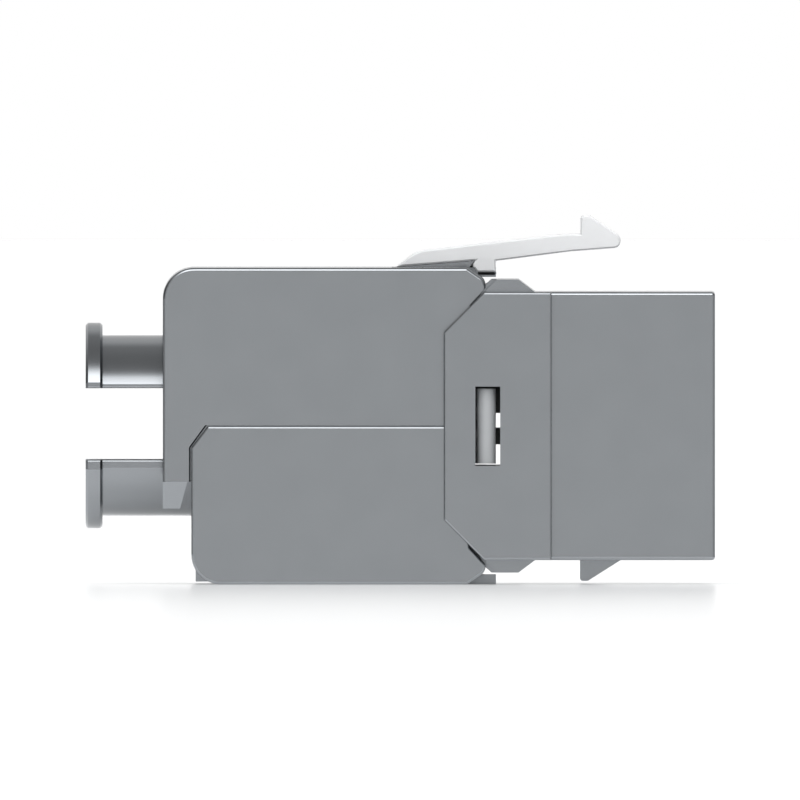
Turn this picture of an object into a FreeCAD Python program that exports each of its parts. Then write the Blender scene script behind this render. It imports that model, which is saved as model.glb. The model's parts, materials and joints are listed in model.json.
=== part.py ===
"""Shielded keystone jack: die-cast housing, two hinged covers with a split cable collar, panel latch.

The origin is the centre of the front face, on the axis of the plug port. +X points out of the port, +Z up.
"""

import FreeCAD, Part
import os
import Sketcher
from FreeCAD import Vector

DOC = FreeCAD.newDocument("KeystoneJack")

# Driving dimensions in millimetres: (name, value, what it is).
SIZES = [
    ("body_width", 14.5, "front section, width"),
    ("body_height", 16.34, "front section, height"),
    ("front_length", 9.97, "front face to the ears' front edge"),
    ("shoulder_length", 3.98, "ears' front edge to the housing's rear face"),
    ("shoulder_start", 1.0, "ears' front edge to the foot of the shoulder's ramp"),
    ("shoulder_rise", 0.76, "raised shoulder above the front section"),
    ("shoulder_crest", 1.33, "length of the shoulder's flat crest"),
    ("shoulder_ramp", 1.01, "length of the ramp up to the crest"),
    ("ear_span", 16.6, "across the outer faces of the two ears"),
    ("ear_inset", 0.02, "ears' upper and lower edges inside the front section's"),
    ("ear_reach", 6.55, "length of the ears"),
    ("ear_thickness", 0.55, "wall of an ear behind the housing"),
    ("ear_bevel", 2.43, "45 degree bevel on the ears' rear corners"),
    ("edge_round", 0.2, "round on the long edges of the castings"),
    ("ear_round", 0.12, "round on the ears' outer edges"),
    ("flange_bevel", 0.15, "bevel on the edges of the collar's flange"),
    ("split_round", 0.12, "round on the half collars' split faces"),
    ("mouth_bevel", 0.3, "bevel round the mouth of the port"),
    ("port_width", 11.8, "plug cavity, width"),
    ("port_height", 6.8, "plug cavity, height"),
    ("port_depth", 10.6, "plug cavity, depth"),
    ("tab_width", 6.1, "plug tab notch, width of the upper step"),
    ("tab_depth", 1.5, "plug tab notch, height of the upper step"),
    ("tab_slot_width", 3.3, "plug tab notch, width of the lower step"),
    ("tab_slot_depth", 1.2, "plug tab notch, height of the lower step"),
    ("chamber_width", 12.0, "chamber for the circuit board, width"),
    ("chamber_roof", 1.57, "wall between the chamber and the front section's top"),
    ("window_length", 1.52, "window in the ear"),
    ("window_height", 4.83, "window in the ear"),
    ("window_front", 13.09, "front edge of the window behind the front face"),
    ("catch_width", 8.0, "fixed panel catch"),
    ("catch_front", 5.73, "catch ramp's start behind the front face"),
    ("catch_rear", 8.23, "catch face behind the front face"),
    ("catch_tip", 0.48, "flat tip of the catch"),
    ("catch_drop", 1.28, "catch tip below the front section"),
    ("catch_round", 0.18, "round on the catch tip"),
    ("hinge_setback", 15.12, "cover hinge axes behind the front face"),
    ("hinge_drop", 0.41, "cover hinge axes below the shoulder's crest"),
    ("knuckle_reach", 1.13, "covers' top and front edge from the hinge axis"),
    ("knuckle_slope", 0.77, "drop of the covers' sloped corner over its length"),
    ("knuckle_round", 0.6, "round between a side wall's sloped corner and its front edge"),
    ("roll_radius", 0.9, "hinge roll between the side walls"),
    ("trunnion_radius", 0.5, "hinge trunnion on the rail"),
    ("trunnion_reach", 1.6, "trunnion out of the rail's side"),
    ("rail_width", 6.5, "hinge rail, width"),
    ("rail_reach", 19.39, "rail's rear end behind the front face"),
    ("rail_depth", 1.1, "rail's rear end, thickness"),
    ("nose_front", 13.35, "rail nose behind the front face"),
    ("nose_height", 0.58, "rail nose, thickness"),
    ("nose_width", 5.2, "rail nose, width"),
    ("nose_start", 14.9, "root of the narrowed nose behind the front face"),
    ("wedge_front", 14.66, "latch seat's front edge behind the front face"),
    ("wedge_lean", 0.34, "lean of the latch seat's front face"),
    ("wedge_rise", 0.4, "highest point of the latch seat above the rail"),
    ("wedge_heel", 0.03, "lowest point of the latch seat above the rail"),
    ("web_clear", 0.1, "rail web's lower edge above the chamber"),
    ("web_front", 14.2, "rail web's front face behind the front face"),
    ("web_shelf", 0.62, "shelf at the web's foot below the hinge axis"),
    ("lip_reach", 14.3, "shoulder lip's rear edge behind the front face"),
    ("lip_slant_length", 0.68, "slant of the lip's rear edge, length"),
    ("lip_slant_height", 0.585, "slant of the lip's rear edge, height"),
    ("lip_drop", 0.6, "shoulder lip's lower edge below the hinge axis"),
    ("lip_width", 12.6, "shoulder lip between the covers' side walls"),
    ("upper_rear", 33.66, "upper cover's rear face behind the front face"),
    ("upper_width", 14.4, "upper cover, width over its side walls"),
    ("skirt_width", 13.9, "upper cover's skirt inside the lower side walls"),
    ("skirt_gap", 0.05, "gap between the lower side walls' rear edge and the upper cover's full width"),
    ("skirt_inside", 12.9, "clear width between the upper side walls"),
    ("skirt_drop", 3.4, "skirt's lower edge below the axis"),
    ("rear_wall", 1.5, "upper cover's rear wall"),
    ("roof_wall", 0.8, "covers' roof and floor"),
    ("upper_corner", 1.9, "upper cover's rear top corner radius"),
    ("lug_drop", 5.03, "tapered lugs' tip below the axis"),
    ("lug_taper", 0.45, "taper of the lugs, each of two sides"),
    ("lower_rear", 31.92, "lower side walls' rear edge behind the front face"),
    ("lower_width", 15.4, "lower cover, width over its side walls"),
    ("wall_round", 0.15, "round on the lower side walls' outer edges"),
    ("lower_inside", 14.5, "clear width between the lower side walls"),
    ("lower_corner", 1.83, "lower cover's rear bottom corner radius"),
    ("lower_bevel_length", 1.0, "bevel on the lower side walls' top rear corner, length"),
    ("lower_bevel_height", 1.3, "bevel on the lower side walls' top rear corner, height"),
    ("heel_inset", 0.26, "rear wall set in from the lower side walls' edge"),
    ("floor_inset", 0.18, "floor set in from the lower side walls' edge"),
    ("heel_wall", 1.16, "lower cover's rear wall"),
    ("heel_drop", 3.7, "lower rear wall's top edge below the axis"),
    ("wall_front", 14.95, "covers' side walls, front edge behind the front face"),
    ("wall_chin", 0.09, "front end of a side wall below the hinge axis"),
    ("notch_reach", 19.7, "roof notch's rear edge behind the front face"),
    ("collar_radius", 5.5, "cable collar, outer radius"),
    ("collar_bore", 4.2, "cable collar, bore radius"),
    ("collar_flats", 9.75, "cable collar, width over its flat sides"),
    ("flange_radius", 6.27, "cable collar's end flange, radius"),
    ("flange_flats", 11.36, "cable collar's end flange, width over its flat sides"),
    ("flange_thickness", 1.03, "cable collar's end flange, thickness"),
    ("collar_rear", 38.36, "collar's rear face behind the front face"),
    ("collar_lower_edge", 2.3, "upper half collar's edge above the axis"),
    ("collar_upper_edge", 2.06, "lower half collar's edge below the axis"),
    ("running_gap", 0.06, "clearance at the seam and between sliding faces"),
    ("side_gap", 0.15, "clearance at the rail's sides"),
    ("collar_gap", 0.25, "clearance of the lower half collar in the upper rear wall"),
    ("fit_gap", 0.05, "clearance of pieces seated in the housing"),
    ("latch_step", 8.2, "latch hook's face behind the front face"),
    ("latch_top", 3.15, "latch hook's top above the rail"),
    ("latch_crest", 0.6, "flat top of the latch hook"),
    ("latch_tip", 5.76, "latch tip behind the front face"),
    ("tip_top", 1.9, "upper corner of the latch tip above the rail"),
    ("tip_bottom", 1.21, "lower corner of the latch tip above the rail"),
    ("tip_round", 0.4, "round on the latch tip"),
    ("tail_length", 1.17, "length of the steep end of the latch's tail"),
    ("tail_bend", 2.2, "round at the top of the tail's steep end"),
    ("arm_bend_setback", 1.06, "bend in the arm's top behind the hook's face"),
    ("arm_bend", 12.0, "round at the bend in the arm's top"),
    ("arm_top", 2.03, "arm's top at the hook above the rail"),
    ("arm_kink_setback", 0.6, "bend in the arm's underside behind the hook's face"),
    ("arm_kink_level", 0.98, "bend in the arm's underside above the rail"),
    ("arm_root", 0.4, "arm's underside at the cheeks above the rail"),
    ("latch_front", 13.36, "cheeks' front edge behind the front face"),
    ("cheek_drop", 0.28, "cheeks' lower edge below the rail's top"),
    ("cheek_length", 1.09, "cheeks' lower edge, length"),
    ("cheek_flare", 0.3, "cheeks' rear edge flare"),
    ("cheek_round", 0.1, "round on the cheeks' lower front corner"),
    ("cheek_heel", 0.2, "cheeks' rear corner above the rail"),
    ("relief_rise", 0.06, "relief between the cheeks above the arm's underside"),
    ("relief_run", 0.9, "relief between the cheeks, length of its slope"),
    ("latch_bevel", 0.1, "bevel on the latch's long side edges"),
    ("tongue_length", 0.4, "latch tongue in the rail pocket, length"),
    ("tongue_width", 3.6, "latch tongue in the rail pocket, width"),
    ("tongue_drop", 0.75, "latch tongue below the rail's top"),
    ("tongue_root", 0.3, "latch tongue's root inside the latch"),
    ("pocket_play", 0.28, "room for the tongue as the arm bends"),
    ("contact_pitch", 1.02, "plug contacts, pitch"),
    ("contact_width", 0.4, "plug contacts, width of the strip"),
    ("contact_thickness", 0.3, "plug contacts, thickness of the strip"),
    ("contact_level", 5.0, "plug contacts' upper run above the axis"),
    ("contact_front", 4.3, "plug contacts' bend behind the front face"),
    ("contact_bend", 0.5, "plug contacts, outer bend radius"),
    ("contact_turn", 1.2, "plug contacts, height of the bend"),
    ("contact_tip_setback", 9.4, "plug contacts' tip behind the front face"),
    ("contact_tip_level", 2.0, "plug contacts' tip above the axis"),
    ("contact_slope", 0.34, "plug contacts' sloping leg, thickness measured upright"),
    ("carrier_width", 10.5, "contact carrier, width"),
    ("carrier_front", 3.0, "contact carrier's front behind the front face"),
    ("carrier_height", 2.9, "contact carrier, height"),
    ("carrier_slot", 0.5, "contact carrier, slot width"),
    ("board_thickness", 0.8, "circuit board"),
    ("base_thickness", 1.5, "terminal block's base plate"),
    ("tower_width", 10.2, "terminal towers, width"),
    ("tower_length", 5.5, "terminal towers behind the block's base plate"),
    ("upper_tower_low", 0.79, "upper tower's lower face above the axis"),
    ("upper_tower_high", 5.2, "upper tower's upper face above the axis"),
    ("rib_high", 0.14, "middle rib's upper face below the axis"),
    ("rib_low", 1.12, "middle rib's lower face below the axis"),
    ("rib_reach", 14.5, "middle rib's rear end behind the front face"),
    ("lower_tower_high", 2.45, "lower tower's upper face below the axis"),
    ("lower_tower_low", 6.1, "lower tower's lower face below the axis"),
    ("terminal_pitch", 2.4, "insulation displacement terminals, pitch"),
    ("terminal_width", 1.7, "terminal blade, width"),
    ("terminal_thickness", 0.4, "terminal blade, thickness"),
    ("terminal_slot", 0.35, "terminal blade, wire slot"),
    ("terminal_slot_depth", 3.2, "terminal blade, depth of the wire slot"),
    ("lead_in_width", 0.3, "lead-in of the wire slot, width on each side"),
    ("lead_in_depth", 0.5, "lead-in of the wire slot, depth"),
    ("terminal_recess", 0.6, "terminal tips inside the towers' rear ends"),
    ("terminal_pin", 0.6, "terminal pin in the board, width"),
    ("upper_terminal_level", 3.0, "upper terminals above the axis"),
    ("lower_terminal_level", 4.3, "lower terminals below the axis"),
    ("manager_front", 14.7, "wire manager's front behind the front face"),
    ("manager_cap", 5.7, "wire manager behind the towers, length"),
    ("manager_width", 12.4, "wire manager, width"),
    ("manager_inset", 0.1, "wire manager's top and bottom inside the chamber's"),
    ("manager_bore", 3.6, "wire manager's cable bore, radius"),
    ("manager_web", 0.7, "wall between the towers' pockets and the bore"),
    ("channel_width", 1.0, "wire channels"),
    ("channel_inner", 1.5, "wire channels' inner end from the axis"),
    ("groove_height", 2.88, "wire grooves in the towers' rear ends, height"),
    ("groove_depth", 1.9, "wire grooves in the towers' rear ends, depth"),
    ("snap_length", 1.15, "snap lug in the ear's window, length"),
    ("snap_height", 4.57, "snap lug in the ear's window, height"),
    ("snap_front", 13.36, "snap lug's front edge behind the front face"),
    ("snap_reach", 7.8, "snap lug's crest from the middle plane"),
    ("snap_arm", 0.6, "thickness of the arm that carries a snap lug"),
    ("spring_width", 2.4, "shield spring, width"),
    ("spring_thickness", 0.2, "shield spring, thickness"),
    ("spring_front", 1.2, "shield spring's front behind the front face"),
    ("spring_length", 7.0, "shield spring, length"),
    ("spring_bow", 0.45, "shield spring's bow into the port"),
    ("spring_foot", 0.84, "shield spring's flat foot, length"),
    ("spring_rise", 1.96, "shield spring's slope between foot and crest, length"),
]


class Size:
    """A length that holds its value and the expression that gives it in the document."""

    def __init__(self, value, text):
        self.value = value
        self.text = text

    @staticmethod
    def of(thing):
        return thing if isinstance(thing, Size) else Size(float(thing), "%.9g mm" % thing)

    def __add__(self, other):
        other = Size.of(other)
        return Size(self.value + other.value, "(%s + %s)" % (self.text, other.text))

    def __sub__(self, other):
        other = Size.of(other)
        return Size(self.value - other.value, "(%s - %s)" % (self.text, other.text))

    def __radd__(self, other):
        return Size.of(other) + self

    def __rsub__(self, other):
        return Size.of(other) - self

    def __neg__(self):
        return Size(-self.value, "(-1 * %s)" % self.text)

    def __mul__(self, factor):
        return Size(self.value * factor, "(%s * %.9g)" % (self.text, factor))

    __rmul__ = __mul__


class Dimensions:
    """The spreadsheet: each alias is read as an attribute and gives a Size."""

    def __init__(self, rows):
        sheet = DOC.addObject("Spreadsheet::Sheet", "Dims")
        for row, (name, value, note) in enumerate(rows, start=1):
            sheet.set("A%d" % row, name)
            sheet.set("B%d" % row, "%.9g mm" % value)
            sheet.setAlias("B%d" % row, name)
            sheet.set("C%d" % row, note)
            setattr(self, name, Size(value, "Dims.%s" % name))
        DOC.recompute()


D = Dimensions(SIZES)


PIECES = []


class Piece:
    """One sub-part: a PartDesign body made of pads, pockets and fillets bound to the spreadsheet."""

    def __init__(self, label):
        self.body = DOC.addObject("PartDesign::Body", label)
        self.body.Label = label
        PIECES.append(self)

    def plane(self, role):
        return [f for f in self.body.Origin.OriginFeatures if f.Role == role][0]

    def sketch(self, plane, level):
        """An empty sketch on XY, XZ or YZ, moved along the third axis to the given level."""
        sketch = self.body.newObject("Sketcher::SketchObject", "Sketch")
        sketch.AttachmentSupport = [(self.plane(plane + "_Plane"), "")]
        sketch.MapMode = "FlatFace"
        level = -level if plane == "XZ" else level
        sketch.AttachmentOffset = FreeCAD.Placement(Vector(0, 0, level.value), FreeCAD.Rotation())
        sketch.setExpression("AttachmentOffset.Base.z", level.text)
        return sketch

    def feature(self, kind, plane, outlines, low, high):
        low, high = Size.of(low), Size.of(high)
        sketch = self.sketch(plane, (low + high) * 0.5)
        for outline in outlines if isinstance(outlines, list) else [outlines]:
            outline.draw(sketch)
        feature = self.body.newObject("PartDesign::" + kind, kind)
        feature.Profile = sketch
        feature.Midplane = True
        feature.Length = (high - low).value
        feature.setExpression("Length", (high - low).text)
        sketch.Visibility = False
        DOC.recompute()
        return feature

    def add(self, plane, outlines, low, high):
        """Add material inside one outline or a list of them from low to high along the plane's normal."""
        return self.feature("Pad", plane, outlines, low, high)

    def cut(self, plane, outlines, low, high):
        """Take material away inside the outlines from low to high along the plane's normal."""
        before = self.body.Shape.Volume
        feature = self.feature("Pocket", plane, outlines, low, high)
        if self.body.Shape.Volume > before - 1e-9:
            raise RuntimeError("a pocket of %s cuts nothing" % self.body.Label)
        return feature

    def add_both(self, plane, outline, low, high):
        """Add the same pad on the two sides of the middle plane: low and high are distances from it."""
        self.add(plane, outline, low, high)
        self.add(plane, outline, -Size.of(high), -Size.of(low))

    def cut_both(self, plane, outline, low, high):
        self.cut(plane, outline, low, high)
        self.cut(plane, outline, -Size.of(high), -Size.of(low))

    def fillet(self, radius, chosen):
        """Round every edge for which chosen(edge) is true."""
        return self.dress("Fillet", "Radius", radius, chosen)

    def chamfer(self, size, chosen):
        """Bevel every edge for which chosen(edge) is true."""
        return self.dress("Chamfer", "Size", size, chosen)

    def dress(self, kind, measure, size, chosen):
        tip = self.body.Tip
        names = ["Edge%d" % i for i, edge in enumerate(tip.Shape.Edges, start=1) if chosen(edge)]
        if not names:
            raise RuntimeError("no edge of %s to work on" % self.body.Label)
        feature = self.body.newObject("PartDesign::" + kind, kind)
        feature.Base = (tip, names)
        setattr(feature, measure, size.value)
        feature.setExpression(measure, size.text)
        DOC.recompute()
        return feature


class Polygon:
    """A closed outline through points given as pairs of sizes."""

    def __init__(self, *points):
        self.points = [(Size.of(a), Size.of(b)) for a, b in points]

    def draw(self, sketch):
        count = len(self.points)
        places = [Vector(a.value, b.value, 0) for a, b in self.points]
        first = sketch.GeometryCount
        for i in range(count):
            sketch.addGeometry(Part.LineSegment(places[i], places[(i + 1) % count]), False)
        for i in range(count):
            here, following = first + i, first + (i + 1) % count
            sketch.addConstraint(Sketcher.Constraint("Coincident", here, 2, following, 1))
        for i, (a, b) in enumerate(self.points):
            pin(sketch, first + i, 1, a, b)


class Circle:
    """A circle about a centre given as a pair of sizes."""

    def __init__(self, a, b, radius):
        self.a, self.b, self.radius = Size.of(a), Size.of(b), Size.of(radius)

    def draw(self, sketch):
        centre = Vector(self.a.value, self.b.value, 0)
        index = sketch.addGeometry(Part.Circle(centre, Vector(0, 0, 1), self.radius.value), False)
        pin(sketch, index, 3, self.a, self.b)
        number = sketch.addConstraint(Sketcher.Constraint("Radius", index, self.radius.value))
        sketch.setExpression("Constraints[%d]" % number, self.radius.text)


def pin(sketch, geometry, point, a, b):
    """Hold a sketch point at two distances from the sketch's origin, bound to the spreadsheet."""
    for kind, size in (("DistanceX", a), ("DistanceY", b)):
        rule = Sketcher.Constraint(kind, -1, 1, geometry, point, size.value)
        number = sketch.addConstraint(rule)
        sketch.setExpression("Constraints[%d]" % number, size.text)


def rectangle(a0, a1, b0, b1):
    return Polygon((a0, b0), (a1, b0), (a1, b1), (a0, b1))


def across(*spots):
    """Choose straight edges along Y that pass through one of the (x, z) spots."""
    spots = [(Size.of(x).value, Size.of(z).value) for x, z in spots]

    def chosen(edge):
        box = edge.BoundBox
        if box.XLength > 1e-3 or box.ZLength > 1e-3:
            return False
        return any(abs(box.XMin - x) < 0.02 and abs(box.ZMin - z) < 0.02 for x, z in spots)

    return chosen


def lengthwise(level, beyond):
    """Choose straight edges along X at a height, further from the middle plane than a distance."""

    def chosen(edge):
        box = edge.BoundBox
        if box.YLength > 1e-3 or box.ZLength > 1e-3:
            return False
        return abs(box.ZMin - level.value) < 1e-3 and abs(box.YMin) > beyond.value

    return chosen


def on_sides(distance, shown=None):
    """Choose edges that lie flat on the two side faces at a distance; shown(box) can narrow the choice."""

    def chosen(edge):
        box = edge.BoundBox
        if box.YLength > 1e-3 or abs(abs(box.YMin) - distance.value) > 1e-3:
            return False
        return shown is None or shown(box)

    return chosen


def flange_rim(x):
    """Choose the outer edges of the collar's flange at a station along X."""

    def chosen(edge):
        box = edge.BoundBox
        if box.XLength > 1e-3 or abs(box.XMin - x.value) > HAIR or box.ZLength < HAIR:
            return False
        reach = max(-box.YMin, box.YMax, -box.ZMin, box.ZMax)
        return reach > D.flange_flats.value * 0.5 - HAIR

    return chosen


# Stations along X, behind the front face, and levels shared by several pieces.
ear_front = -D.front_length
housing_rear = ear_front - D.shoulder_length
ramp_foot = ear_front - D.shoulder_start
crest_front = ramp_foot - D.shoulder_ramp
crest_rear = crest_front - D.shoulder_crest
ear_rear = ear_front - D.ear_reach
half_height = D.body_height * 0.5
half_width = D.body_width * 0.5
ear_top = half_height - D.ear_inset
crest = half_height + D.shoulder_rise
hinge_x = -D.hinge_setback
hinge_level = crest - D.hinge_drop
cover_top = hinge_level + D.knuckle_reach
roof_end = hinge_x - D.roll_radius * 0.5
skirt_start = -D.lower_rear - D.skirt_gap
skirt_top = skirt_start + D.lower_bevel_length
rail_side = D.rail_width * 0.5
nose_side = D.nose_width * 0.5
notch_side = rail_side + D.side_gap
socket_radius = D.trunnion_radius + D.running_gap
trunnion_end = rail_side + D.trunnion_reach
window_front = -D.window_front
window_rear = window_front - D.window_length
chamber_top = half_height - D.chamber_roof
web_root = chamber_top + D.web_clear
board_front = -D.port_depth - D.fit_gap
board_rear = board_front - D.board_thickness
base_front = board_rear - D.fit_gap
base_rear = base_front - D.base_thickness
tower_rear = base_rear - D.tower_length
port_half = D.port_height * 0.5
board_half_width = D.chamber_width * 0.5 - D.fit_gap
board_half_height = chamber_top - D.fit_gap
CONTACTS = 8
TERMINALS_IN_ROW = 4
# rise of the latch arm's top over its length
ARM_SLOPE = 0.115
# Cuts run past the faces that they open, and added shapes reach into what carries them.
PAST = 1.0
BITE = 0.1
HAIR = 0.01


def mirrored(points, up):
    """The points as given for the upper side, or with the heights turned over for the lower side."""
    return Polygon(*[(x, z if up else -Size.of(z)) for x, z in points])


def add_rail(housing, up):
    """The hinge rail: a web behind the housing, a rear arm, a nose, and trunnions for the cover."""
    level = cover_top
    root = housing_rear + BITE
    shelf = hinge_level - D.web_shelf
    front = [
        (root, web_root),
        (root, shelf),
        (-D.web_front, shelf),
        (-D.web_front, level - D.nose_height),
        (-D.nose_front, level - D.nose_height),
        (-D.nose_front, level),
    ]
    seat = [
        (-D.wedge_front - D.wedge_lean, level),
        (-D.wedge_front, level + D.wedge_rise),
        (-D.rail_reach, level + D.wedge_heel),
    ]
    rear = [(-D.rail_reach, level - D.rail_depth), (ear_rear, web_root)]
    flat = [(-D.rail_reach, level)]
    outline = front + (seat if up else flat) + rear
    housing.add("XZ", mirrored(outline, up), -rail_side, rail_side)
    low, high = level - D.nose_height - BITE, level + D.wedge_rise + BITE
    root, past = -D.nose_start, -D.nose_front + BITE
    narrowed = mirrored([(root, low), (past, low), (past, high), (root, high)], up)
    housing.cut_both("XZ", narrowed, nose_side, rail_side + BITE)
    axis = hinge_level if up else -hinge_level
    housing.add("XZ", Circle(hinge_x, axis, D.trunnion_radius), -trunnion_end, trunnion_end)


def add_lip(housing, up):
    """The shoulder's lip, hollowed about the hinge so that the cover's roll turns inside it."""
    low = hinge_level - D.lip_drop
    points = [
        (crest_rear, low),
        (crest_rear, crest),
        (-D.lip_reach + D.lip_slant_length, crest),
        (-D.lip_reach, crest - D.lip_slant_height),
        (-D.lip_reach, low),
    ]
    housing.add("XZ", mirrored(points, up), -D.lip_width * 0.5, D.lip_width * 0.5)
    axis = hinge_level if up else -hinge_level
    clear = Circle(hinge_x, axis, D.roll_radius + D.running_gap)
    housing.cut_both("XZ", clear, rail_side, D.lip_width * 0.5 + BITE)


def front_housing():
    housing = Piece("front_housing")
    block = rectangle(ear_front - D.shoulder_start, 0, -half_height, half_height)
    housing.add("XZ", block, -half_width, half_width)
    housing.fillet(D.edge_round, front_edges)
    cut_port(housing)
    housing.chamfer(D.mouth_bevel, mouth_edges)
    slope_foot = crest + housing_rear - crest_rear
    upper = [
        (ear_front, half_height),
        (ramp_foot, half_height),
        (crest_front, crest),
        (crest_rear, crest),
        (housing_rear, slope_foot),
    ]
    lower = [(x, -Size.of(z)) for x, z in reversed(upper)]
    housing.add("XZ", Polygon(*upper, *lower), -half_width, half_width)
    bevelled = [(ear_front, ear_top), (ear_rear + D.ear_bevel, ear_top), (ear_rear, ear_top - D.ear_bevel)]
    ear = Polygon(*bevelled, *[(x, -z) for x, z in reversed(bevelled)])
    span = D.ear_span * 0.5
    housing.add("XZ", ear, -span, span)
    housing.fillet(D.ear_round, on_sides(span, beside_window))
    between = span - D.ear_thickness
    behind = rectangle(ear_rear - PAST, housing_rear, -ear_top - PAST, ear_top + PAST)
    housing.cut("XZ", behind, -between, between)
    for up in (True, False):
        add_rail(housing, up)
        add_lip(housing, up)
    catch_root, catch_tip = -half_height + BITE, -half_height - D.catch_drop
    catch = Polygon(
        (-D.catch_rear, catch_root),
        (-D.catch_front, catch_root),
        (-D.catch_front, -half_height),
        (-D.catch_rear + D.catch_tip, catch_tip),
        (-D.catch_rear, catch_tip),
    )
    housing.add("XZ", catch, -D.catch_width * 0.5, D.catch_width * 0.5)
    cut_port(housing)
    cut_chamber(housing)
    cut_latch_pocket(housing)
    spring_side = D.port_width * 0.5 + D.spring_thickness + D.fit_gap
    spring_half = D.spring_width * 0.5 + D.fit_gap
    spring_rear = -D.spring_front - D.spring_length - D.fit_gap
    seat = rectangle(spring_rear, -D.spring_front + D.fit_gap, -spring_half, spring_half)
    housing.cut_both("XZ", seat, D.port_width * 0.5 - BITE, spring_side)
    housing.fillet(
        D.catch_round,
        across((-D.catch_rear, catch_tip), (-D.catch_rear + D.catch_tip, catch_tip)),
    )
    return housing


def front_edges(edge):
    """The front face's outer edges and the front section's four long edges."""
    box = edge.BoundBox
    at_corner = box.YLength < 1e-3 and box.ZLength < 1e-3
    return at_corner or (box.XLength < 1e-3 and box.XMin > -1e-3)


def mouth_edges(edge):
    """The front face's inner edges, round the mouth of the port."""
    box = edge.BoundBox
    limit = D.port_height * 0.5 + D.tab_depth + D.tab_slot_depth
    inside = max(abs(box.ZMin), abs(box.ZMax)) < limit.value + 1e-3
    across_port = max(abs(box.YMin), abs(box.YMax)) < D.port_width.value * 0.5 + 1e-3
    return box.XLength < 1e-3 and box.XMin > -1e-3 and inside and across_port


def beside_window(box):
    return box.XMin < window_rear.value - HAIR or box.XMax > window_front.value + HAIR


def cut_port(housing):
    """The plug cavity with the stepped notch for the plug's tab."""
    half, tab, slot = D.port_width * 0.5, D.tab_width * 0.5, D.tab_slot_width * 0.5
    step = -port_half - D.tab_depth
    foot = step - D.tab_slot_depth
    outline = Polygon(
        (-half, port_half),
        (half, port_half),
        (half, -port_half),
        (tab, -port_half),
        (tab, step),
        (slot, step),
        (slot, foot),
        (-slot, foot),
        (-slot, step),
        (-tab, step),
        (-tab, -port_half),
        (-half, -port_half),
    )
    housing.cut("YZ", outline, -D.port_depth - HAIR, PAST)


def cut_chamber(housing):
    """The chamber for the board and terminals, the room for the contact carrier and the ears' windows."""
    half = D.chamber_width * 0.5
    chamber = rectangle(-half, half, -chamber_top, chamber_top)
    housing.cut("YZ", chamber, housing_rear - HAIR, -D.port_depth)
    carrier_half = D.carrier_width * 0.5 + D.fit_gap
    carrier_top = port_half + D.carrier_height + D.fit_gap
    carrier = rectangle(-carrier_half, carrier_half, port_half - BITE, carrier_top)
    housing.cut("YZ", carrier, -D.port_depth - HAIR, -D.carrier_front + D.fit_gap)
    window = rectangle(window_rear, window_front, -D.window_height * 0.5, D.window_height * 0.5)
    housing.cut_both("XZ", window, half - BITE, D.ear_span * 0.5 + BITE)


def cut_latch_pocket(housing):
    """The pocket in the rail that holds the latch's tongue."""
    front = -D.nose_start + D.pocket_play + D.fit_gap
    rear = front - D.tongue_length - D.pocket_play - D.fit_gap
    half = D.tongue_width * 0.5 + D.fit_gap
    floor = cover_top - D.tongue_drop - D.fit_gap
    housing.cut("XZ", rectangle(rear, front, floor, cover_top + D.wedge_rise + BITE), -half, half)


def collar(cover, inner_end, edge, up):
    """Half of the flanged cable collar, cut off at its edge level, with its bore."""
    rear = -D.collar_rear
    flange_front = rear + D.flange_thickness
    cover.add("YZ", Circle(0, 0, D.collar_radius), rear, inner_end)
    cover.add("YZ", Circle(0, 0, D.flange_radius), rear, flange_front)
    cover.cut("YZ", Circle(0, 0, D.collar_bore), rear - PAST, inner_end + PAST)
    reach = D.flange_radius + BITE
    cover.cut_both("XZ", rectangle(rear, flange_front, -reach, reach), D.flange_flats * 0.5, reach)
    cover.cut_both("XZ", rectangle(flange_front, inner_end, -reach, reach), D.collar_flats * 0.5, reach)
    other_half = rectangle(-reach, reach, -reach, edge) if up else rectangle(-reach, reach, -edge, reach)
    cover.cut("YZ", other_half, rear - PAST, inner_end + PAST)
    cover.chamfer(D.flange_bevel, flange_rim(rear))
    cover.chamfer(D.flange_bevel, flange_rim(flange_front))
    cover.fillet(D.split_round, lengthwise(edge if up else -edge, D.collar_bore))


def wall_end(up, edge):
    """The front end of a cover's side wall: its corner about the hinge, and its edge behind the window."""
    front = hinge_x + D.knuckle_reach
    points = [
        (roof_end - BITE, cover_top),
        (hinge_x, cover_top),
        (front, cover_top - D.knuckle_slope),
        (front, hinge_level - D.wall_chin),
        (-D.wall_front, hinge_level - D.knuckle_reach),
        (-D.wall_front, edge),
        (roof_end - BITE, edge),
    ]
    return mirrored(points, up)


def add_hinge_rolls(cover, up, inside):
    """The rolls between the notch and the side walls, with sockets open to the front for the trunnions."""
    axis = hinge_level if up else -hinge_level
    cover.add_both("XZ", Circle(hinge_x, axis, D.roll_radius), notch_side, inside)
    depth = trunnion_end + D.running_gap
    cover.cut_both("XZ", Circle(hinge_x, axis, socket_radius), notch_side - BITE, depth)
    mouth = rectangle(hinge_x, hinge_x + D.roll_radius + BITE, axis - socket_radius, axis + socket_radius)
    cover.cut_both("XZ", mouth, notch_side - BITE, depth)


def at_roof_or_rear(box):
    """An edge of the upper cover's side wall on its roof or its rear face."""
    chin = hinge_level.value - D.wall_chin.value
    return box.ZMax > chin + HAIR


def beside_lower_wall(box):
    """An edge of the upper cover's full width along the lower side wall's rear end."""
    behind = box.XMin > skirt_start.value - HAIR
    return behind and box.XMax < skirt_top.value + HAIR and box.ZLength > HAIR


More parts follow.
